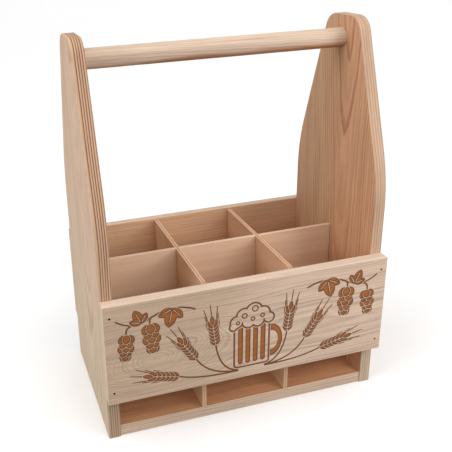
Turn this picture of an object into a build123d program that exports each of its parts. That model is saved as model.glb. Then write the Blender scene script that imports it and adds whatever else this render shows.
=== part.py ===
"""Wooden bottle caddy for six half-litre bottles.

Two bottle-shaped sides carry a round handle, a floor board and two nailed boards, front and back.
A loose grid of three half-lapped plywood dividers stands on the floor and makes the six cells.

Millimetres. +X runs along the handle to the right, +Y to the back and +Z up.
The origin is on the standing surface, at the middle of the caddy's footprint.
"""

from build123d import *
import os

# Whole caddy
caddy_width = 280

# Side panels
side_depth = 152
side_height = 368
side_thickness = 12
side_top_width = 52
knee_height = 222
knee_radius = 170
top_corner_radius = 19
side_ease = 1.0

# Handle: a dowel glued into blind sockets
handle_diameter = 18.5
handle_below_top = 21.5
socket_depth = 8
socket_clearance = 0.05
handle_ease = 0.6

# Front and back boards, nailed across the sides' edges
front_thickness = 11.5
front_height = 102
front_gap = 47
back_thickness = 9
back_height = 103
back_gap = 49
board_ease = 0.7

# Floor board between the sides
floor_thickness = 12
floor_front_recess = 1.0
floor_ease = 0.5

# Plywood divider grid
ply_thickness = 4
divider_height = 138.5
cross_divider_count = 2
grid_end_clearance = 0.5
lap_clearance = 0.15

# Nails: flat-wire brads with a T-shaped head, sunk a little below the surface
brad_length = 30
brad_width = 1.4
brad_thickness = 1.2
brad_head_width = 2.2
brad_head_length = 1.2
brad_point_length = 1.5
brad_point_width = 0.4
brad_sink = 0.4
brad_hole_clearance = 0.1
nail_edge_distance = 12
floor_nail_count = 3
floor_nail_inset = 22

# Derived places
inner_width = caddy_width - 2 * side_thickness
overall_depth = front_thickness + side_depth + back_thickness
sides_front = front_thickness - overall_depth / 2
sides_back = sides_front + side_depth
sides_middle = (sides_front + sides_back) / 2
handle_height = side_height - handle_below_top
socket_radius = handle_diameter / 2 + socket_clearance
lap_width = ply_thickness + 2 * lap_clearance
lap_height = divider_height / 2 + lap_clearance
cell_width = (inner_width - cross_divider_count * ply_thickness) / (cross_divider_count + 1)
cross_places = [
    (i - (cross_divider_count - 1) / 2) * (cell_width + ply_thickness) for i in range(cross_divider_count)
]
cross_names = ["left_cross_divider", "right_cross_divider"]


def side_plane(x):
    """A plane across the caddy at x, drawn with Y to the right of the sides' middle and Z up."""
    return Plane(origin=(x, sides_middle, 0), x_dir=(0, 1, 0), z_dir=(1, 0, 0))


def board_nail_planes(face_y, outward, board_bottom, board_height):
    """One plane for each nail of a front or back board, on the board's face, looking out."""
    x = caddy_width / 2 - side_thickness / 2
    low = board_bottom + nail_edge_distance
    high = board_bottom + board_height - nail_edge_distance
    return [Plane(origin=(px, face_y, z), z_dir=(0, outward, 0)) for px in (-x, x) for z in (low, high)]


def floor_nail_planes(outward):
    """One plane for each nail through a side into the floor board's end, on the side's outer face."""
    first = sides_front + floor_nail_inset
    step = (side_depth - 2 * floor_nail_inset) / (floor_nail_count - 1)
    return [
        Plane(
            origin=(outward * caddy_width / 2, first + i * step, floor_thickness / 2),
            z_dir=(outward, 0, 0),
        )
        for i in range(floor_nail_count)
    ]


front_nails = board_nail_planes(sides_front - front_thickness, -1, front_gap, front_height)
back_nails = board_nail_planes(sides_back + back_thickness, 1, back_gap, back_height)
left_floor_nails = floor_nail_planes(-1)
right_floor_nails = floor_nail_planes(1)


def drill_nail_holes(planes):
    """Cuts a brad's slot, with the seat of its head, into the open part at each plane."""
    slot_thickness = brad_thickness + 2 * brad_hole_clearance
    with BuildSketch(*planes) as slots:
        Rectangle(brad_width + 2 * brad_hole_clearance, slot_thickness)
    extrude(slots.sketch, amount=-(brad_sink + brad_length + brad_hole_clearance), mode=Mode.SUBTRACT)
    with BuildSketch(*planes) as seats:
        Rectangle(brad_head_width + 2 * brad_hole_clearance, slot_thickness)
    extrude(seats.sketch, amount=-(brad_sink + brad_head_length), mode=Mode.SUBTRACT)


def build_side(name, outward, floor_nails):
    """A side panel: straight sides, a swept knee, a straight taper and a rounded top."""
    outer_x = outward * caddy_width / 2
    inner_x = outer_x - outward * side_thickness
    half_depth = side_depth / 2
    half_top = side_top_width / 2
    with BuildPart() as side:
        with BuildSketch(side_plane(min(outer_x, inner_x))):
            with BuildLine():
                Line((0, 0), (-half_depth, 0))
                FilletPolyline(
                    (-half_depth, 0),
                    (-half_depth, knee_height),
                    (-half_top, side_height),
                    (0, side_height),
                    radius=[knee_radius, top_corner_radius],
                )
                mirror(about=Plane.YZ)
            make_face()
        extrude(amount=side_thickness)
        faces = side.faces().sort_by(Axis.X)
        fillet(faces[0].outer_wire().edges() + faces[-1].outer_wire().edges(), radius=side_ease)
        with BuildSketch(Plane(origin=(inner_x, sides_middle, handle_height), z_dir=(outward, 0, 0))):
            Circle(socket_radius)
        extrude(amount=socket_depth, mode=Mode.SUBTRACT)
        drill_nail_holes(front_nails)
        drill_nail_holes(back_nails)
        drill_nail_holes(floor_nails)
    side.part.label = name
    return side.part


def build_handle():
    """The dowel between the sides' sockets."""
    half_length = inner_width / 2 + socket_depth
    with BuildPart() as handle:
        with BuildSketch(side_plane(-half_length)):
            with Locations((0, handle_height)):
                Circle(handle_diameter / 2)
        extrude(amount=2 * half_length)
        chamfer(handle.edges().filter_by(GeomType.CIRCLE), length=handle_ease)
    handle.part.label = "handle"
    return handle.part


def build_board(name, back_y, thickness, bottom, height, nails):
    """A board with eased edges across the sides, with its nail holes. It stands in front of back_y."""
    with BuildPart() as board:
        with BuildSketch(Plane.XZ.offset(-back_y)):
            with Locations((0, bottom + height / 2)):
                Rectangle(caddy_width, height)
        extrude(amount=thickness)
        fillet(board.edges(), radius=board_ease)
        drill_nail_holes(nails)
    board.part.label = name
    return board.part


def build_floor():
    """The floor board, set back a little behind the sides' front edges."""
    floor_depth = side_depth - floor_front_recess
    with BuildPart() as floor:
        with BuildSketch():
            with Locations((0, sides_back - floor_depth / 2)):
                Rectangle(inner_width, floor_depth)
        extrude(amount=floor_thickness)
        fillet(floor.edges().filter_by(Axis.X), radius=floor_ease)
        drill_nail_holes(left_floor_nails + right_floor_nails)
    floor.part.label = "bottom_board"
    return floor.part


def build_long_divider():
    """The divider along the caddy. Its slots are open at the top, one for each cross divider."""
    with BuildPart() as divider:
        with BuildSketch(Plane.XZ.offset(-(sides_middle + ply_thickness / 2))):
            with Locations((0, floor_thickness + divider_height / 2)):
                Rectangle(inner_width - 2 * grid_end_clearance, divider_height)
            with Locations([(x, floor_thickness + divider_height) for x in cross_places]):
                Rectangle(lap_width, lap_height, align=(Align.CENTER, Align.MAX), mode=Mode.SUBTRACT)
        extrude(amount=ply_thickness)
    divider.part.label = "long_divider"
    return divider.part


def build_cross_divider(name, x):
    """A divider from front to back. Its slot is open at the bottom and straddles the long divider."""
    with BuildPart() as divider:
        with BuildSketch(side_plane(x - ply_thickness / 2)):
            with Locations((0, floor_thickness + divider_height / 2)):
                Rectangle(side_depth - 2 * grid_end_clearance, divider_height)
            with Locations((0, floor_thickness)):
                Rectangle(lap_width, lap_height, align=(Align.CENTER, Align.MIN), mode=Mode.SUBTRACT)
        extrude(amount=ply_thickness)
    divider.part.label = name
    return divider.part


def build_nails(name, planes):
    """A group of brads, one driven in along each plane: a flat T with a chisel point."""
    head_top = -brad_sink
    head_bottom = head_top - brad_head_length
    tip = head_top - brad_length
    half_outline = [
        (0, head_top),
        (brad_head_width / 2, head_top),
        (brad_head_width / 2, head_bottom),
        (brad_width / 2, head_bottom),
        (brad_width / 2, tip + brad_point_length),
        (brad_point_width / 2, tip),
        (0, tip),
    ]
    with BuildPart() as nails:
        for plane in planes:
            upright = Plane(origin=plane.origin, x_dir=plane.x_dir, z_dir=-plane.y_dir)
            with BuildSketch(upright):
                with BuildLine():
                    Polyline(half_outline)
                    mirror(about=Plane.YZ)
                make_face()
            extrude(amount=brad_thickness / 2, both=True)
    nails.part.label = name
    return nails.part


pieces = [
    build_side("left_side", -1, left_floor_nails),
    build_side("right_side", 1, right_floor_nails),
    build_handle(),
    build_board("front_board", sides_front, front_thickness, front_gap, front_height, front_nails),
    build_board("back_board", sides_back + back_thickness, back_thickness, back_gap, back_height, back_nails),
    build_floor(),
    build_long_divider(),
    *[build_cross_divider(name, x) for name, x in zip(cross_names, cross_places)],
    build_nails("front_board_nails", front_nails),
    build_nails("back_board_nails", back_nails),
    build_nails("left_side_nails", left_floor_nails),
    build_nails("right_side_nails", right_floor_nails),
]

os.makedirs("parts", exist_ok=True)
for piece in pieces:
    export_step(piece, f"parts/{piece.label}.step")
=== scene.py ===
"""Finish, engraving, light and camera of a wooden bottle caddy.

Lengths are millimetres in the part's frame, and MM or mm() turns them into metres.
+X runs along the handle, +Y to the back and +Z up.
"""
import math
from collections import namedtuple

import bmesh
import bpy
import numpy as np
from mathutils import Matrix, Vector


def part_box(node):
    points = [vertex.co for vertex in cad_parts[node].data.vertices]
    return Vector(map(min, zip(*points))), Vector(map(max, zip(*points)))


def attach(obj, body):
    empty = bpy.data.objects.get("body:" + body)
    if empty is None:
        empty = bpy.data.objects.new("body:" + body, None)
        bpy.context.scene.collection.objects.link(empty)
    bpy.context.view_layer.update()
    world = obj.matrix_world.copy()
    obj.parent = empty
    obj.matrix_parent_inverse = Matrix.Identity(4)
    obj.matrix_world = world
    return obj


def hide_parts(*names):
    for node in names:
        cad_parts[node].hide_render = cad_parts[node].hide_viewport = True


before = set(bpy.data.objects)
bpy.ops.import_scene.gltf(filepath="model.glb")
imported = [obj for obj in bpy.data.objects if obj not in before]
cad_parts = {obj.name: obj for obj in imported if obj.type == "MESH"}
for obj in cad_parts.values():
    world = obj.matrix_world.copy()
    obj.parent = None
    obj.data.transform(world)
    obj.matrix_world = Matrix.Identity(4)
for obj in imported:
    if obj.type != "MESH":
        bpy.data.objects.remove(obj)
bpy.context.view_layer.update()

MM = 0.001


def mm(*lengths):
    """Millimetres to metres."""
    return tuple(length * MM for length in lengths)


def srgb(red, green, blue):
    """An sRGB colour of 0 to 255 as Blender's linear colour."""
    def linear(c):
        c /= 255
        return c / 12.92 if c <= 0.04045 else ((c + 0.055) / 1.055) ** 2.4
    return (linear(red), linear(green), linear(blue), 1.0)


class Graph:
    """A material's node tree, with short calls to add and wire its nodes."""

    def __init__(self, name):
        self.material = bpy.data.materials.new(name)
        self.material.use_nodes = True
        self.tree = self.material.node_tree
        self.tree.nodes.clear()

    def add(self, kind, inputs=None, **settings):
        node = self.tree.nodes.new(kind)
        for key, value in settings.items():
            setattr(node, key, value)
        for key, value in (inputs or {}).items():
            self.feed(node.inputs[key], value)
        return node

    def feed(self, socket, value):
        if isinstance(value, bpy.types.NodeSocket):
            self.tree.links.new(value, socket)
        else:
            socket.default_value = value

    def math(self, operation, *values, clamp=False):
        node = self.add("ShaderNodeMath", operation=operation, use_clamp=clamp)
        for socket, value in zip(node.inputs, values):
            self.feed(socket, value)
        return node.outputs[0]

    def weighted(self, start, *terms):
        """start plus the product of each (value, weight)."""
        for value, weight in terms:
            start = self.math("MULTIPLY_ADD", value, weight, start)
        return start

    def squares(self, *values):
        """The sum of the values' squares."""
        return self.weighted(0.0, *((value, value) for value in values))

    def vector(self, x, y, z):
        return self.add("ShaderNodeCombineXYZ", {"X": x, "Y": y, "Z": z}).outputs[0]

    def noise(self, vector, scale=1.0, detail=2.0, roughness=0.5):
        """Noise of -1 to 1 around zero."""
        node = self.add("ShaderNodeTexNoise", {
            "Vector": vector, "Scale": scale, "Detail": detail, "Roughness": roughness})
        return self.math("MULTIPLY_ADD", node.outputs[0], 2.0, -1.0)

    def white(self, value):
        """One random number of 0 to 1 for each whole value."""
        return self.add("ShaderNodeTexWhiteNoise", {"W": value}, noise_dimensions="1D").outputs[0]

    def ramp(self, value, stops):
        """A curve of 0 to 1 through (place, height) stops."""
        node = self.add("ShaderNodeValToRGB", {"Fac": value})
        elements = node.color_ramp.elements
        while len(elements) < len(stops):
            elements.new(0.5)
        for element, (place, height) in zip(elements, stops):
            element.position = place
            element.color = (height, height, height, 1.0)
        return node.outputs[0]

    def step(self, value, low, high):
        """0 below low, 1 above high and smooth between."""
        node = self.add("ShaderNodeMapRange", {"Value": value, "From Min": low, "From Max": high},
                        interpolation_type="SMOOTHSTEP")
        return node.outputs[0]

    def mix(self, factor, first, second, blend="MIX"):
        """The second colour over the first. The sockets go by number, because several share a name."""
        factor_socket, first_socket, second_socket, result_socket = 0, 6, 7, 2
        node = self.add("ShaderNodeMix", {factor_socket: factor}, data_type="RGBA", blend_type=blend)
        self.feed(node.inputs[first_socket], first)
        self.feed(node.inputs[second_socket], second)
        return node.outputs[result_socket]

    def shaded(self, colour, noises, shares):
        """The colour, made lighter or darker by each noise's share."""
        shade = self.weighted(1.0, *((noises[kind], share) for kind, share in shares.items()))
        return self.mix(1.0, colour, self.vector(shade, shade, shade), "MULTIPLY")

    def finish(self, colour, roughness, height, relief, bump_strength=0.4, specular=0.3):
        """The material. relief is the bumps' depth in millimetres."""
        bump = self.add("ShaderNodeBump", {
            "Height": height, "Distance": relief * MM, "Strength": bump_strength})
        shader = self.add("ShaderNodeBsdfPrincipled", {
            "Base Color": colour, "Roughness": roughness, "Specular IOR Level": specular,
            "Normal": bump.outputs[0]})
        output = self.add("ShaderNodeOutputMaterial")
        self.tree.links.new(shader.outputs[0], output.inputs[0])
        return self.material


# The colours of early and late wood, and how strongly the late wood shows
Look = namedtuple("Look", "early late contrast")

# Light wood of each piece:
# along, across, depth: its axes; the grain runs along, and the faces are square to depth
# pith, lean: the rings' middle (across, depth) is at pith - lean * the place along
# ring: the width of a year's growth
# seed: where the piece's noises start
# wander: how far the rings stray, as a share of the usual
# face, edge: the looks of the faces and of the other sides
# foot, foot_end: the other sides' look at the low end of along, and where it ends (from, to)
# clear: the depths (from, to) between which the other sides' late wood comes in
# tone, drift: a second early wood of the faces, and the axis, middle and reach of its coming in;
#     the axis is 0 for along, 1 for across or 2 for depth; on the front board and the handle the drift
#     is painted light and shade
# swirls: the middle (along, across), half sizes and height of the pull of each buried knot
# nails: the middle of four nails, and how far they are from it, both (along, across)
# round_stock: the whole piece has the look of its faces
BOARDS = {
    "left_side": dict(
        along=2, across=1, depth=0, pith=(-14, -50), lean=(0.03, 0.05), ring=2.1, seed=3.0, wander=0.7,
        face=Look(srgb(210, 187, 160), srgb(164, 134, 107), 0.65),
        edge=Look(srgb(220, 179, 146), srgb(106, 62, 38), 1.15), clear=(-139.4, -137.6),
        foot=Look(srgb(198, 172, 143), srgb(132, 98, 70), 1.0), foot_end=(60, 220),
        tone=srgb(216, 184, 158), drift=(0, 150, 90)),
    "right_side": dict(
        along=2, across=1, depth=0, pith=(-29, 83.4), lean=(-0.05, -0.05), ring=2.8, seed=8.0,
        face=Look(srgb(209, 160, 123), srgb(156, 98, 64), 0.85),
        edge=Look(srgb(200, 167, 139), srgb(150, 106, 77), 0.65),
        # Painted light: the edges' foot is lighter and greyer, for light bounced from the floor into the
        # front board's shadow
        foot=Look(srgb(206, 184, 158), srgb(160, 128, 100), 0.6), foot_end=(60, 170),
        tone=srgb(211, 171, 134), drift=(1, 14, 36)),
    "front_board": dict(
        along=0, across=2, depth=1, pith=(88, -36), lean=(-0.03, 0.0), ring=1.7, seed=5.0,
        face=Look(srgb(208, 180, 154), srgb(148, 116, 92), 0.5),
        edge=Look(srgb(216, 193, 172), srgb(184, 152, 127), 0.5),
        # Painted light: the drift brings the lighter tone in towards the right, over clouds of real tone
        tone=srgb(221, 193, 170), drift=(0, -10, 90),
        swirls=[((-97, 88), (46, 27), -24), ((-52, 106), (26, 15), -11)],
        nails=((0, 98), (134, 39))),
    "back_board": dict(
        along=0, across=2, depth=1, pith=(20, 170), lean=(0.02, 0.03), ring=2.0, seed=12.0,
        face=Look(srgb(226, 184, 146), srgb(186, 132, 94), 0.4),
        edge=Look(srgb(214, 188, 163), srgb(184, 150, 122), 0.4),
        tone=srgb(224, 188, 154), nails=((0, 100.5), (134, 39.5))),
    "bottom_board": dict(
        along=0, across=1, depth=2, pith=(30, -60), lean=(0.02, 0.02), ring=2.6, seed=15.0,
        # Partly painted shade: the faces, seen inside the low slots, are darker and redder than the edges,
        # for the slots' shade as well as the board's own tone
        face=Look(srgb(199, 146, 106), srgb(152, 100, 68), 0.55),
        edge=Look(srgb(222, 194, 170), srgb(176, 142, 114), 0.6),
        tone=srgb(190, 140, 100)),
    "handle": dict(
        along=0, across=1, depth=2, pith=(34, 384), lean=(0.01, 0.01), ring=1.7, seed=21.0,
        wander=0.5, round_stock=True,
        # Painted light and shade: the dark orange looks are the shaded underside, and the light tone drifting
        # in near the top is the lit top
        face=Look(srgb(184, 126, 86), srgb(160, 110, 76), 0.45),
        edge=Look(srgb(184, 126, 86), srgb(160, 110, 76), 0.45),
        tone=srgb(221, 195, 172), drift=(2, 340.5, 4.5)),
}

# Noises in a board's grain: length, width, detail and roughness
GRAIN_NOISES = {
    "fine": (12, 0.28, 2, 0.6),
    "fibre": (46, 0.9, 4, 0.65),
    "cloud": (120, 26, 2, 0.5),
    "band": (90, 2.2, 3, 0.6),
    "wide": (140, 8, 2, 0.6),
    "streak": (11, 0.8, 1, 0.5),
}
# How much each noise lightens a board, and how much it raises its surface
GRAIN_SHADE_SHARES = {"fine": 0.2, "fibre": 0.34, "cloud": 0.05, "band": 0.2, "wide": 0.15, "streak": -0.13}
GRAIN_HEIGHT_SHARES = {"fibre": 0.6, "fine": 0.5, "dark": 0.9}
# A streak starts at the first height of its noise and is full at the second
STREAK_EDGE = (0.45, 0.7)
# The noises' start across the grain, as a share of their start along it
ACROSS_SEED_SHARE = 1.7

# Waves in the rings on a face: length, width, detail and how far they go
FACE_WAVES = [(150, 42, 1, 4.5), (30, 8, 2, 0.9)]
# The one wave of the ring lines on an edge: its length and how far it goes
EDGE_WAVE = (170, 2.4)
# Darkness within a year's growth, as (place, height) shares
RING_SHARES = [(0.0, 0.35), (0.08, 0.0), (0.38, 0.10), (0.66, 0.60), (0.88, 1.0), (1.0, 0.35)]
# Years come unevenly: waves in a ring's width, and how far they shift it in ring widths
UNEVEN_SHARES = (0.31, 0.9)
# Darkness of the weakest year on faces and on edges, and of the strongest one
FACE_LEAST_SHARE = 0.25
EDGE_LEAST_SHARE = 0.8
YEAR_MOST_SHARE = 1.1

# Parts of the normal between which a side turns from edge to face, and from side to end grain
FACE_NORMALS = (0.5, 0.85)
END_NORMALS = (0.6, 0.9)
END_COLOUR = srgb(170, 128, 94)
END_SHARE = 0.06

# The iron stain round a nail, with the painted shade of its hole: full inside the first radius, gone at the
# second
STAIN_AND_HOLE_SHADE_EDGE = (0.7, 1.5)
STAIN_AND_HOLE_SHADE_COLOUR = srgb(46, 32, 22)
STAIN_AND_HOLE_SHADE_SHARE = 0.85


def part_axes(g, along, across, depth):
    """The place in millimetres and the size of the normal, each along, across and in depth."""
    coordinates = g.add("ShaderNodeTexCoord").outputs
    in_mm = g.add("ShaderNodeVectorMath", {0: coordinates["Object"], 1: (1 / MM,) * 3}, operation="MULTIPLY")
    facing = g.add("ShaderNodeVectorMath", {0: coordinates["Normal"]}, operation="ABSOLUTE")
    place = g.add("ShaderNodeSeparateXYZ", {0: in_mm.outputs[0]}).outputs
    normal = g.add("ShaderNodeSeparateXYZ", {0: facing.outputs[0]}).outputs
    order = (along, across, depth)
    return [place[i] for i in order], [normal[i] for i in order]


def grain_noise(g, place, on_face, seed):
    """A function for noise drawn out along the grain, of a length and a width.

    Off the faces the grain has no place across, so that its lines keep to the edge's direction.
    """
    across_seed = seed * ACROSS_SEED_SHARE
    along, across, depth = place[0], g.math("MULTIPLY", place[1], on_face), place[2]

    def grain(length, width, detail, roughness=0.5):
        stretched = g.vector(g.math("MULTIPLY_ADD", along, 1 / length, seed),
                             g.math("MULTIPLY_ADD", across, 1 / width, across_seed),
                             g.math("MULTIPLY", depth, 1 / width))
        return g.noise(stretched, detail=detail, roughness=roughness)
    return grain


def face_rings(g, place, pith, lean, wander, seed, swirls):
    """The distance from the pith, with the wander of a real trunk."""
    along = place[0]
    offsets = [g.math("SUBTRACT", g.math("MULTIPLY_ADD", along, shift, value), middle)
               for value, shift, middle in zip(place[1:], lean, pith)]
    radius = g.math("SQRT", g.squares(*offsets))
    grain = grain_noise(g, place, 1.0, seed)
    for length, width, detail, reach in FACE_WAVES:
        radius = g.weighted(radius, (grain(length, width, detail), reach * wander))
    for middles, reaches, height in swirls:
        away = [g.math("MULTIPLY", g.math("SUBTRACT", value, middle), 1 / reach)
                for value, middle, reach in zip(place, middles, reaches)]
        bell = g.math("EXPONENT", g.math("MULTIPLY", g.squares(*away), -1.0))
        radius = g.weighted(radius, (bell, height))
    return radius


def edge_rings(g, place, seed):
    """The depth, with a slow drift: on narrow edges the rings show as lines along the grain."""
    length, reach = EDGE_WAVE
    slow = g.noise(g.vector(g.math("MULTIPLY_ADD", place[0], 1 / length, seed), seed, 0.0), detail=1.0)
    return g.weighted(place[2], (slow, reach))


def late_wood(g, radius, ring, seed, least):
    """The dark part of each year's ring, 0 to 1. least is the share that a weak year keeps."""
    waves, shift = UNEVEN_SHARES
    uneven = g.noise(g.vector(g.math("MULTIPLY", radius, waves / ring), seed, 0.0))
    years = g.math("MULTIPLY_ADD", uneven, shift, g.math("MULTIPLY", radius, 1 / ring))
    profile = g.ramp(g.math("FRACT", years), RING_SHARES)
    chance = g.white(g.math("ADD", g.math("FLOOR", years), seed))
    return g.math("MULTIPLY", profile, g.weighted(least, (chance, YEAR_MOST_SHARE - least)))


def near_nails(g, place, middles, distances):
    """1 close to a board's four nails, which lie at distances from middles, and 0 away from them."""
    gaps = [g.math("SUBTRACT", g.math("ABSOLUTE", g.math("SUBTRACT", value, middle)), distance)
            for value, middle, distance in zip(place, middles, distances)]
    return g.math("SUBTRACT", 1.0, g.step(g.math("SQRT", g.squares(*gaps)), *STAIN_AND_HOLE_SHADE_EDGE))


def tone_share(g, place, cloud, drift):
    """How far a face has its second early wood: in clouds, and more and more past drift's middle, which on
    the front board and the handle is painted light and shade.
    """
    cloud_share, edge = 1.2, 0.6
    share = g.math("MULTIPLY", cloud, cloud_share)
    if drift:
        axis, middle, reach = drift
        share = g.weighted(share, (g.math("SUBTRACT", place[axis], middle), 1 / reach))
    return g.step(share, -edge, edge)


def wood(name, along, across, depth, pith, lean, ring, seed, face, edge, tone, drift=None, foot=None,
         foot_end=(0, 1), clear=None, wander=1.0, swirls=(), round_stock=False, nails=None):
    """Solid softwood: rings, fibres, short resin streaks, stains with painted hole shade round nails and
    darker end grain.
    """
    g = Graph(name)
    place, normal = part_axes(g, along, across, depth)
    on_face = 1.0 if round_stock else g.step(normal[2], *FACE_NORMALS)
    grain = grain_noise(g, place, on_face, seed)
    noises = {kind: grain(*cells) for kind, cells in GRAIN_NOISES.items()}
    noises["streak"] = g.step(noises["streak"], *STREAK_EDGE)

    foot = foot or edge
    above_foot = g.step(place[0], *foot_end)
    edge_contrast = g.weighted(foot.contrast, (above_foot, edge.contrast - foot.contrast))
    if clear:
        edge_contrast = g.math("MULTIPLY", edge_contrast, g.step(place[2], *clear))
    face_radius = face_rings(g, place, pith, lean, wander, seed, swirls)
    face_dark = g.math("MULTIPLY", late_wood(g, face_radius, ring, seed, FACE_LEAST_SHARE), face.contrast)
    edge_late = late_wood(g, edge_rings(g, place, seed), ring, seed, EDGE_LEAST_SHARE)
    edge_dark = g.math("MULTIPLY", edge_late, edge_contrast)
    dark = g.math("MULTIPLY_ADD", g.math("SUBTRACT", face_dark, edge_dark), on_face, edge_dark, clamp=True)

    toned = tone_share(g, place, noises["cloud"], drift)
    early = g.mix(on_face, g.mix(above_foot, foot.early, edge.early), g.mix(toned, face.early, tone))
    late = g.mix(on_face, g.mix(above_foot, foot.late, edge.late), face.late)
    colour = g.shaded(g.mix(dark, early, late), noises, GRAIN_SHADE_SHARES)
    # Iron stain and painted shade of the nail holes, on the faces round the nails
    if nails:
        stain_and_hole_shade = g.math("MULTIPLY", near_nails(g, place, *nails), on_face)
        colour = g.mix(g.math("MULTIPLY", stain_and_hole_shade, STAIN_AND_HOLE_SHADE_SHARE), colour, STAIN_AND_HOLE_SHADE_COLOUR)
    end = g.step(normal[0], *END_NORMALS)
    colour = g.mix(g.math("MULTIPLY", end, END_SHARE), colour, END_COLOUR)

    noises["dark"] = dark
    height = g.weighted(0.0, *((noises[kind], share) for kind, share in GRAIN_HEIGHT_SHARES.items()))
    early_roughness, late_gloss = 0.66, 0.12
    return g.finish(colour, roughness=g.weighted(early_roughness, (dark, -late_gloss)), height=height,
                    relief=0.12, bump_strength=0.35)


# Noises in plywood: length, width, detail and roughness
PLY_NOISES = {
    "fibre": (60, 1.4, 3, 0.6),
    "pore": (6, 0.5, 1, 0.5),
    "cloud": (140, 45, 2, 0.5),
    "figure": (220, 16, 3, 0.7),
    "core": (30, 1.2, 2, 0.5),
}
# How much each noise lightens plywood, and how much it raises its surface
PLY_SHADE_SHARES = {"cloud": 0.06, "fibre": 0.08, "pore": -0.07}
PLY_HEIGHT_SHARES = {"fibre": 0.5, "pore": -0.6, "core": -0.8}
# Heights of their noises between which pores, the second veneer tone and the second core tone come in
PORE_EDGE = (0.4, 0.68)
FIGURE_EDGE = (-0.4, 0.7)
CORE_EDGE = (-0.5, 0.6)
CORE_COLOURS = (srgb(170, 128, 96), srgb(150, 108, 78))
CORE_HALF = 0.7
GLUE_LINE = 0.3
# The share of its core that a board doesn't show at the ends of its grain
END_HIDDEN_SHARE = 0.6


def plywood(name, along, across, depth, middle, seed, veneers, core_shown):
    """Thin three-ply board: smooth veneer faces, and edges that show the core as a darker line."""
    g = Graph(name)
    place, normal = part_axes(g, along, across, depth)
    grain = grain_noise(g, place, g.step(normal[2], *FACE_NORMALS), seed)
    noises = {kind: grain(*cells) for kind, cells in PLY_NOISES.items()}
    noises["pore"] = g.step(noises["pore"], *PORE_EDGE)

    veneer = g.mix(g.step(noises["figure"], *FIGURE_EDGE), *veneers)
    veneer = g.shaded(veneer, noises, PLY_SHADE_SHARES)
    core = g.mix(g.step(noises["core"], *CORE_EDGE), *CORE_COLOURS)
    off_middle = g.math("ABSOLUTE", g.math("SUBTRACT", place[2], middle))
    in_core = g.math("SUBTRACT", 1.0, g.step(off_middle, CORE_HALF - GLUE_LINE, CORE_HALF))
    core_share = g.weighted(core_shown, (normal[0], -END_HIDDEN_SHARE * core_shown))
    colour = g.mix(g.math("MULTIPLY", in_core, core_share), veneer, core)

    noises["core"] = in_core
    height = g.weighted(0.0, *((noises[kind], share) for kind, share in PLY_HEIGHT_SHARES.items()))
    return g.finish(colour, roughness=0.6, height=height, relief=0.08, bump_strength=0.3)


def nail_steel_and_hole_shade():
    """Dull darkened wire, made near black also as painted shade of the sunk holes round its heads."""
    stains_per_metre = 900.0
    g = Graph("nail_steel_and_hole_shade")
    coordinates = g.add("ShaderNodeTexCoord")
    stain_and_hole_shade = g.noise(coordinates.outputs["Object"], stains_per_metre, detail=3.0)
    # Near black: dark steel, and painted shade of the holes the heads are sunk in
    colour = g.mix(g.step(stain_and_hole_shade, -0.4, 0.6), srgb(10, 7, 5), srgb(22, 16, 12))
    return g.finish(colour, roughness=0.9, height=stain_and_hole_shade, relief=0.05, specular=0.05)


# Each divider's axes (along, across, depth), its two veneer tones and how much its core shows
DIVIDERS = {
    "long_divider": ((0, 2, 1), (srgb(232, 199, 171), srgb(216, 175, 142)), 0.25),
    "left_cross_divider": ((1, 2, 0), (srgb(222, 184, 152), srgb(210, 166, 131)), 1.0),
    "right_cross_divider": ((1, 2, 0), (srgb(220, 180, 147), srgb(208, 163, 127)), 1.0),
}
# The first divider's seed and the step from each to the next
DIVIDER_SEEDS = (1.0, 4.3)
NAILS = ("front_board_nails", "back_board_nails", "left_side_nails", "right_side_nails")


def dress(node, material):
    """Gives a CAD node its material."""
    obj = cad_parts[node]
    obj.data.materials.clear()
    obj.data.materials.append(material)


def dress_all():
    """Gives every CAD node its material."""
    for name, board in BOARDS.items():
        dress(name, wood(name + "_wood", **board))
    first_seed, seed_step = DIVIDER_SEEDS
    for count, (name, (axes, veneers, core_shown)) in enumerate(DIVIDERS.items()):
        low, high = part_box(name)
        middle = (low[axes[2]] + high[axes[2]]) / 2 / MM
        seed = first_seed + count * seed_step
        dress(name, plywood(name + "_ply", *axes, middle, seed, veneers, core_shown))
    steel = nail_steel_and_hole_shade()
    for name in NAILS:
        dress(name, steel)


# Engraving of the front board: hops and barley round a mug. It is drawn in millimetres from the
# board's middle, u to the right and v up, as a field that is negative inside lines and fills.
DRAWING_STEP = 0.2
DRAWING_HALF = (132, 44)
FAR = float(DRAWING_HALF[0])
# Each shape has a rim, and a deeper fill inside it
RIM_WIDTH = 0.9
RIM_DEPTH = 0.3
FILL_DEPTH = 0.4
# A loop of fewer square millimetres isn't cut
SMALLEST_LOOP = 0.3
RIM_LOOK = Look(srgb(120, 77, 45), srgb(96, 60, 36), 0.5)
FILL_LOOK = Look(srgb(168, 101, 48), srgb(136, 78, 37), 0.6)

# Half widths of lines at their start and end
STEM_HALF_WIDTHS = (0.88, 0.75)
STALK_HALF_WIDTH = 0.85
AWN_HALF_WIDTHS = (0.62, 0.4)
VEIN_HALF_WIDTHS = (0.42, 0.28)
# The clear line round a shape that lies in front of others
SMALL_GAP = 0.55
LARGE_GAP = 0.7
FOAM_GAP = 0.8


def turned(base, angle, length):
    """The point at a length from base, in the direction of angle degrees."""
    a = math.radians(angle)
    return (base[0] + length * math.cos(a), base[1] + length * math.sin(a))


def bend(start, pull, end, count=20):
    """Points of a line that bends from start to end and is pulled towards a third point."""
    return [tuple((1 - t) ** 2 * p + 2 * t * (1 - t) * q + t ** 2 * r for p, q, r in zip(start, pull, end))
            for t in np.linspace(0, 1, count)]


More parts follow.
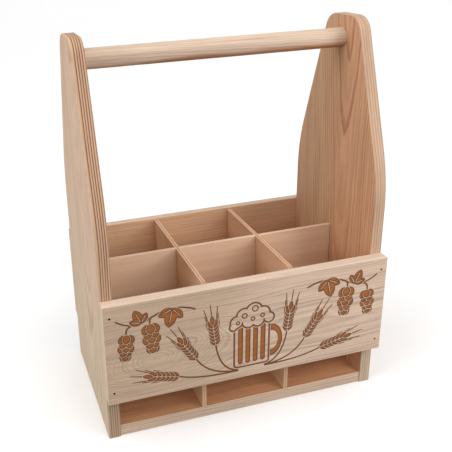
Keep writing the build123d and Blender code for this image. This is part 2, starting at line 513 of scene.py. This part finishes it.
class Drawing:
    """A grid of places u, v and their distances to the nearest line or fill, which are negative inside it."""

    def __init__(self, u, v, field):
        self.u, self.v, self.field = u, v, field

    def near(self, points, reach):
        """The part of the drawing within reach of the points. It shares this drawing's field."""
        low = [min(p[i] for p in points) - reach for i in (0, 1)]
        high = [max(p[i] for p in points) + reach for i in (0, 1)]
        columns = slice(*np.searchsorted(self.u[0], (low[0], high[0])))
        rows = slice(*np.searchsorted(self.v[:, 0], (low[1], high[1])))
        return Drawing(self.u[rows, columns], self.v[rows, columns], self.field[rows, columns])

    def add(self, shape, gap=0.0):
        """Draws a shape. A gap clears that much round it, so that it lies in front of the rest."""
        if gap:
            self.cut(shape - gap)
        np.minimum(self.field, shape, out=self.field)

    def cut(self, shape):
        np.maximum(self.field, -shape, out=self.field)

    def disc(self, centre, radius):
        return np.hypot(self.u - centre[0], self.v - centre[1]) - radius

    def rounded_box(self, centre, half, corner):
        across = np.abs(self.u - centre[0]) - half[0] + corner
        upright = np.abs(self.v - centre[1]) - half[1] + corner
        outside = np.hypot(np.maximum(across, 0), np.maximum(upright, 0))
        return outside + np.minimum(np.maximum(across, upright), 0) - corner

    def line(self, points, half_width, end_half_width=None):
        """A line through the points that narrows to its end half width."""
        end = half_width if end_half_width is None else end_half_width
        spans = list(zip(points, points[1:]))
        nearest = np.full(self.u.shape, FAR)
        for i, ((ax, ay), (bx, by)) in enumerate(spans):
            dx, dy = bx - ax, by - ay
            share = np.clip(((self.u - ax) * dx + (self.v - ay) * dy) / (dx * dx + dy * dy), 0, 1)
            reach = np.hypot(self.u - ax - share * dx, self.v - ay - share * dy)
            width = half_width + (end - half_width) * (i + share) / len(spans)
            nearest = np.minimum(nearest, reach - width)
        return nearest

    def leaf(self, base, tip, width):
        """A pointed oval from base to tip: what two discs have in common."""
        half = math.dist(base, tip) / 2
        radius = (half ** 2 + (width / 2) ** 2) / width
        middle = ((base[0] + tip[0]) / 2, (base[1] + tip[1]) / 2)
        angle = math.degrees(math.atan2(tip[1] - base[1], tip[0] - base[0]))
        sides = [self.disc(turned(middle, angle + turn, radius - width / 2), radius) for turn in (90, -90)]
        return np.maximum(*sides)


def draw_barley(drawing, base, angle, length):
    """An ear: pairs of grains that lean out from the stem, every second pair with long awns."""
    pairs, grain_length, grain_width, grain_lean = 6, 10.4, 4.5, 25
    root_offset, root_lean = 1.0, 70
    awn_length, awn_lean, top_awn = 13, 10, (9, 22)
    near = drawing.near([base, turned(base, angle, length)], reach=30)
    for pair in range(pairs):
        stem = turned(base, angle, pair * length / (pairs + 1))
        for side in (-1, 1):
            root = turned(stem, angle + side * root_lean, root_offset)
            tip = turned(stem, angle + side * grain_lean, grain_length)
            if pair % 2:
                awn = [tip, turned(tip, angle + side * awn_lean, awn_length)]
                near.add(near.line(awn, *AWN_HALF_WIDTHS))
            near.add(near.leaf(root, tip, grain_width), SMALL_GAP)
    top = turned(base, angle, pairs * length / (pairs + 1))
    near.add(near.line([turned(top, angle, distance) for distance in top_awn], *AWN_HALF_WIDTHS))
    near.add(near.leaf(top, turned(top, angle, grain_length), grain_width), SMALL_GAP)


def cone_half_share(share):
    """Half the width of a hop cone at a share of its length, as a share of its full width."""
    end_share, swell_share, taper_share = 0.55, 0.45, 0.45
    top_turn_share, span_turn_share = 0.25, 0.6
    swell = end_share + swell_share * math.sin(math.pi * (top_turn_share + span_turn_share * share))
    return swell * (1 - taper_share * share ** 2) / 2


def draw_hop_cone(drawing, top, angle, length, width):
    """A cone of overlapping scales, drawn from its tip up to its stem."""
    rows = 5
    rows_share, scale_length_share, scale_width_share = 0.66, 0.34, 0.46
    # How far out scales lean in rows of two and of three, and how much of that their roots do
    pair_share, three_share, root_share = 0.55, 0.85, 0.35
    near = drawing.near([top, turned(top, angle, length)], width)
    for row in reversed(range(rows)):
        share = row / (rows - 1)
        centre = turned(top, angle, length * rows_share * share)
        below = turned(centre, angle, length * scale_length_share)
        pair = row % 2
        spread = width * cone_half_share(share) * (pair_share if pair else three_share)
        for side in (-1, 1) if pair else (-1, 1, 0):
            root = turned(centre, angle + 90, side * spread * root_share)
            tip = turned(below, angle + 90, side * spread)
            near.add(near.leaf(root, tip, width * scale_width_share), SMALL_GAP)


def draw_hop_leaf(drawing, base, angle, size):
    """Three pointed lobes with clear veins."""
    reach_share, side_turn, side_share = 1.3, 54, 0.76
    root_share, width_share, vein_shares = -0.06, 0.62, (0.14, 0.74)
    near = drawing.near([base], size * reach_share)
    lobes = [(angle - side_turn, size * side_share), (angle + side_turn, size * side_share), (angle, size)]
    root = size * root_share
    near.add(np.minimum.reduce([
        near.leaf(turned(base, turn, root), turned(base, turn, length), length * width_share)
        for turn, length in lobes]), LARGE_GAP)
    for turn, length in lobes:
        vein = [turned(base, turn, length * share) for share in vein_shares]
        near.cut(near.line(vein, *VEIN_HALF_WIDTHS))


def draw_mug(drawing):
    """A fluted mug with a head of foam and bubbles in it."""
    bottom, rim, half_width, corner, outline = -39.5, 10, 18.5, 4, 0.85
    handle_middle, handle_radius, handle_half = (20, -15), 11.2, 2.7
    handle_shares = (0.82, 1.25)
    flute_places, flute_half = (-11.4, -3.8, 3.8, 11.4), 2.5
    flute_low, flute_high = -33, 3
    # Each puff and bubble: u, v and radius
    puffs = [(-15.5, 11, 7.2), (-8, 17, 8.4), (2, 20.5, 9), (11, 16.5, 7.8), (17, 10.5, 6.2),
             (-3.5, 9.5, 7.2), (6, 9.5, 7.2), (-18.5, 6.5, 4.8), (1.5, 13, 7)]
    bubbles = [(-7.5, 16.5, 2.4), (3, 22.5, 2.8), (10.5, 14, 1.9), (-14, 10, 1.6), (0.8, 12, 1.8)]
    bubble_half = 0.62
    region = [(-26, bottom), (42, 38)]

    near = drawing.near(region, reach=4)
    across = (near.u - handle_middle[0]) / handle_shares[0]
    upright = (near.v - handle_middle[1]) / handle_shares[1]
    near.add(np.abs(np.hypot(across, upright) - handle_radius) - handle_half, LARGE_GAP)
    body = near.rounded_box((0, (bottom + rim) / 2), (half_width, (rim - bottom) / 2), corner)
    near.cut(body - LARGE_GAP)
    near.add(np.abs(body + outline) - outline)
    for u in flute_places:
        near.add(near.line([(u, flute_low), (u, flute_high)], flute_half))
    foam = np.minimum.reduce([near.disc((u, v), radius) for u, v, radius in puffs])
    near.cut(foam - FOAM_GAP)
    near.add(np.abs(foam + outline) - outline)
    for u, v, radius in bubbles:
        near.add(np.abs(near.disc((u, v), radius)) - bubble_half)


def draw_side(drawing):
    """The right half: three ears from below the mug, and a hop vine along the top."""
    root, root_step = (14, -41), -0.5
    vine_region = [(52, 14), (130, 43)]
    # Each ear: base, angle and length, and where its stem is pulled to
    ears = [((36, -9), 83, 26, (32, -38)), ((55, -20), 57, 27, (43, -41)), ((72, -35), 13, 30, (52, -43))]
    vine = bend((56, 34), (78, 44), (97, 33)) + bend((97, 33), (113, 23), (129, 35))[1:]
    stalks = [((96, 34), (99, 31), (98, 26)), ((114, 28.5), (121, 27), (120, 20))]
    # Each cone: top, angle, length and width. Each leaf: base, angle and size
    cones = [((98, 27), -94, 31, 18), ((119.5, 20), -84, 27, 16)]
    leaves = [((77, 38), -78, 19), ((106, 29.5), 66, 15)]
    for order, (base, angle, length, pull) in enumerate(ears):
        stem = bend((root[0], root[1] + root_step * order), pull, base)
        drawing.add(drawing.line(stem, *STEM_HALF_WIDTHS))
        draw_barley(drawing, base, angle, length)
    near = drawing.near(vine_region, reach=3)
    near.add(near.line(vine, *STEM_HALF_WIDTHS))
    for stalk in stalks:
        near.add(near.line(bend(*stalk), STALK_HALF_WIDTH))
    for cone in cones:
        draw_hop_cone(drawing, *cone)
    for leaf in leaves:
        draw_hop_leaf(drawing, *leaf)


def outlines(drawing, level):
    """Closed loops of points where the field crosses a level, with the inside on their left."""
    below, right, above, left = range(4)
    turns = {1: [(below, left)], 2: [(right, below)], 3: [(right, left)],
             4: [(above, right)], 5: [(below, left), (above, right)], 6: [(above, below)],
             7: [(above, left)], 8: [(left, above)], 9: [(below, above)],
             10: [(right, below), (left, above)], 11: [(right, above)], 12: [(left, right)],
             13: [(below, right)], 14: [(left, below)]}
    field = drawing.field - level
    inside = field < 0
    cells = inside[:-1, :-1] + 2 * inside[:-1, 1:] + 4 * inside[1:, 1:] + 8 * inside[1:, :-1]
    following = {}
    for row, column in zip(*np.nonzero((cells > 0) & (cells < 15))):
        corners = {below: (row, column, 0), above: (row + 1, column, 0),
                   left: (row, column, 1), right: (row, column + 1, 1)}
        for start, end in turns[int(cells[row, column])]:
            following[corners[start]] = corners[end]

    def crossing(row, column, upright):
        other = (row + 1, column) if upright else (row, column + 1)
        near, far = field[row, column], field[other]
        share = near / (near - far)
        u, v = drawing.u[row, column], drawing.v[row, column]
        return (u, v + share * DRAWING_STEP) if upright else (u + share * DRAWING_STEP, v)

    loops = []
    while following:
        first, corner = following.popitem()
        loop = [crossing(*first)]
        while corner != first:
            loop.append(crossing(*corner))
            corner = following.pop(corner)
        loops.append(loop)
    return loops


def area(loop):
    """The area inside a loop, in square millimetres."""
    u, v = np.array(loop).T
    return abs(np.dot(u, np.roll(v, 1)) - np.dot(v, np.roll(u, 1))) / 2


def simplified(loop, tolerance=0.025):
    """The loop with only the points that keep it within tolerance."""
    points = np.array(loop + loop[:1])
    keep = np.zeros(len(points), bool)
    far = int(np.argmax(np.hypot(*(points - points[0]).T)))
    keep[[0, far, -1]] = True
    stack = [(0, far), (far, len(points) - 1)]
    while stack:
        start, end = stack.pop()
        if end - start < 2:
            continue
        chord = points[end] - points[start]
        offset = points[start + 1:end] - points[start]
        twice_area = np.abs(chord[0] * offset[:, 1] - chord[1] * offset[:, 0])
        distance = twice_area / max(math.hypot(*chord), tolerance)
        worst = int(np.argmax(distance))
        if distance[worst] > tolerance:
            keep[start + 1 + worst] = True
            stack += [(start, start + 1 + worst), (start + 1 + worst, end)]
    return points[:-1][keep[:-1]]


def cutter(name, drawing, level, depth, material):
    """A solid that cuts the drawing, at a level of its field, to a depth in the front board's face."""
    proud, weld = 1.0, 0.001
    low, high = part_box("front_board")
    middle = ((low.x + high.x) / 2, (low.z + high.z) / 2)
    curve = bpy.data.curves.new(name, "CURVE")
    curve.dimensions = "2D"
    curve.fill_mode = "BOTH"
    curve.extrude = (proud + depth) / 2 * MM
    for loop in outlines(drawing, level):
        if area(loop) < SMALLEST_LOOP:
            continue
        points = simplified(loop)
        spline = curve.splines.new("POLY")
        spline.points.add(len(points) - 1)
        spline.points.foreach_set("co", np.array([(u * MM, v * MM, 0, 1) for u, v in points]).ravel())
        spline.use_cyclic_u = True
    flat = bpy.data.objects.new(name, curve)
    mesh = bpy.data.meshes.new_from_object(flat)
    bpy.data.objects.remove(flat)
    upright = Matrix.Rotation(math.radians(90), 4, "X")
    mesh.transform(Matrix.Translation((middle[0], low.y + (depth - proud) / 2 * MM, middle[1])) @ upright)
    solid = bmesh.new()
    solid.from_mesh(mesh)
    bmesh.ops.remove_doubles(solid, verts=solid.verts, dist=weld * MM)
    bmesh.ops.recalc_face_normals(solid, faces=solid.faces)
    solid.to_mesh(mesh)
    solid.free()
    mesh.materials.clear()
    mesh.materials.append(material)
    return bpy.data.objects.new(name, mesh)


def engrave_front_board():
    """The front board with the drawing cut into it: scorched rims, and fills a little deeper."""
    u, v = (np.arange(-half, half + DRAWING_STEP / 2, DRAWING_STEP) for half in DRAWING_HALF)
    drawing = Drawing(*np.meshgrid(u, v), np.full((len(v), len(u)), FAR))
    draw_side(drawing)
    np.minimum(drawing.field, np.fliplr(drawing.field), out=drawing.field)
    draw_mug(drawing)

    scorch = dict(BOARDS["front_board"], face=RIM_LOOK, edge=RIM_LOOK, tone=RIM_LOOK.early)
    burn = dict(BOARDS["front_board"], face=FILL_LOOK, edge=RIM_LOOK, tone=FILL_LOOK.early)
    board = bpy.data.objects.new("engraved_front_board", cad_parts["front_board"].data.copy())
    bpy.context.scene.collection.objects.link(board)
    for name, level, depth, look in (("rim", 0.0, RIM_DEPTH, scorch), ("fill", -RIM_WIDTH, FILL_DEPTH, burn)):
        tool = cutter(name + "_cutter", drawing, level, depth, wood("engraved_" + name, **look))
        bpy.context.scene.collection.objects.link(tool)
        cut = board.modifiers.new(name, "BOOLEAN")
        cut.operation = "DIFFERENCE"
        cut.solver = "EXACT"
        cut.material_mode = "TRANSFER"
        cut.object = tool
        graph = bpy.context.evaluated_depsgraph_get()
        carved = bpy.data.meshes.new_from_object(board.evaluated_get(graph))
        board.modifiers.clear()
        board.data = carved
        bpy.data.objects.remove(tool)
    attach(board, "caddy")
    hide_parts("front_board")


# Soft light from far away, as from large panels: where it comes from, its strength and its spread in degrees
PANELS = {
    "ceiling": ((0.0, 0.0, 1.0), 0.83, 90),
    "key_panel": ((0.30, -0.60, 1.0), 0.55, 40),
    "upper_left_panel": ((-0.8, 0.1, 1.0), 0.72, 50),
    "left_panel": ((-1.0, -0.25, 0.45), 0.54, 40),
    "front_panel": ((0.1, -1.0, 0.3), 0.48, 60),
    "back_panel": ((0.7, 1.0, 0.05), 1.1, 50),
}
# Square soft boxes: their place, what they look at, their side and their power in watts
SOFT_BOXES = {
    "left_box": ((-950, -200, 500), (-140, 0, 200), 500, 2.2),
    "right_box": ((400, -450, 400), (100, -80, 100), 250, 1.35),
}
# Strength of the even light from above the horizon and from below it, and how far from level they blend
WORLD_ABOVE = 0.30
WORLD_BELOW = 0.22
HORIZON = 0.05


def grey(level):
    """A grey of 0 to 1 as a linear colour."""
    return (level, level, level, 1.0)


def add_floor():
    """A wide white floor."""
    half, patches_per_metre = 6000 * MM, 1.5
    mesh = bpy.data.meshes.new("floor")
    corners = [(-half, -half, 0), (half, -half, 0), (half, half, 0), (-half, half, 0)]
    mesh.from_pydata(corners, [], [(0, 1, 2, 3)])
    floor = bpy.data.objects.new("floor", mesh)
    bpy.context.scene.collection.objects.link(floor)
    g = Graph("studio_floor")
    coordinates = g.add("ShaderNodeTexCoord")
    patches = g.noise(coordinates.outputs["Object"], patches_per_metre)
    colour = g.mix(g.step(patches, -1.0, 1.0), grey(0.95), grey(0.97))
    floor.data.materials.append(
        g.finish(colour, roughness=0.8, height=patches, relief=0.01, bump_strength=0.0, specular=0.1))
    floor.visible_diffuse = False


def add_light(name, kind, **settings):
    """A light of a kind, still at the origin."""
    data = bpy.data.lights.new(name, kind)
    for key, value in settings.items():
        setattr(data, key, value)
    light = bpy.data.objects.new(name, data)
    bpy.context.scene.collection.objects.link(light)
    return light


def add_lights():
    """The far panels, and the soft boxes turned to what they look at."""
    for name, (direction, strength, spread) in PANELS.items():
        light = add_light(name, "SUN", energy=strength, angle=math.radians(spread))
        light.rotation_euler = Vector(direction).to_track_quat("Z", "Y").to_euler()
    for name, (place, target, side, power) in SOFT_BOXES.items():
        light = add_light(name, "AREA", shape="SQUARE", size=side * MM, energy=power)
        light.location = mm(*place)
        gaze = Vector(mm(*target)) - light.location
        light.rotation_euler = gaze.to_track_quat("-Z", "Y").to_euler()


def add_world():
    """Even white light. The camera sees plain white beyond the floor."""
    world = bpy.data.worlds.new("studio")
    bpy.context.scene.world = world
    world.use_nodes = True
    tree = world.node_tree
    direction = tree.nodes.new("ShaderNodeTexCoord")
    axes = tree.nodes.new("ShaderNodeSeparateXYZ")
    strength = tree.nodes.new("ShaderNodeMapRange")
    strength.interpolation_type = "SMOOTHSTEP"
    for name, value in (("From Min", -HORIZON), ("From Max", HORIZON),
                        ("To Min", WORLD_BELOW), ("To Max", WORLD_ABOVE)):
        strength.inputs[name].default_value = value
    rays = tree.nodes.new("ShaderNodeLightPath")
    shown = tree.nodes.new("ShaderNodeMix")
    shown.inputs["B"].default_value = 1.0
    background = tree.nodes["Background"]
    background.inputs["Color"].default_value = grey(1.0)
    tree.links.new(direction.outputs["Generated"], axes.inputs[0])
    tree.links.new(axes.outputs["Z"], strength.inputs["Value"])
    tree.links.new(rays.outputs["Is Camera Ray"], shown.inputs["Factor"])
    tree.links.new(strength.outputs[0], shown.inputs["A"])
    tree.links.new(shown.outputs[0], background.inputs["Strength"])


def add_camera():
    """The photograph's view: a camera to the left of the front, looking down, with its frame shifted."""
    image_side = 452
    focal_px = 663.5
    centre_px = (150, 194)
    place = (-224.6, -574.9, 443.7)
    azimuth, elevation, roll = -15.07, 21.19, -2.37
    a, e, r = (math.radians(angle) for angle in (azimuth, elevation, roll))
    back = Vector((math.sin(a) * math.cos(e), -math.cos(a) * math.cos(e), math.sin(e)))
    level_right = Vector((math.cos(a), math.sin(a), 0))
    level_up = back.cross(level_right)
    right = level_right * math.cos(r) + level_up * math.sin(r)
    up = level_up * math.cos(r) - level_right * math.sin(r)
    data = bpy.data.cameras.new("camera")
    data.sensor_width = 36
    data.lens = focal_px / image_side * data.sensor_width
    data.shift_x = (image_side / 2 - centre_px[0]) / image_side
    data.shift_y = (centre_px[1] - image_side / 2) / image_side
    camera = bpy.data.objects.new("camera", data)
    camera.matrix_world = Matrix.Translation(mm(*place)) @ Matrix((right, up, back)).transposed().to_4x4()
    bpy.context.scene.collection.objects.link(camera)
    bpy.context.scene.camera = camera


dress_all()
engrave_front_board()
add_floor()
add_lights()
add_world()
add_camera()
bpy.context.scene.view_settings.view_transform = "Standard"
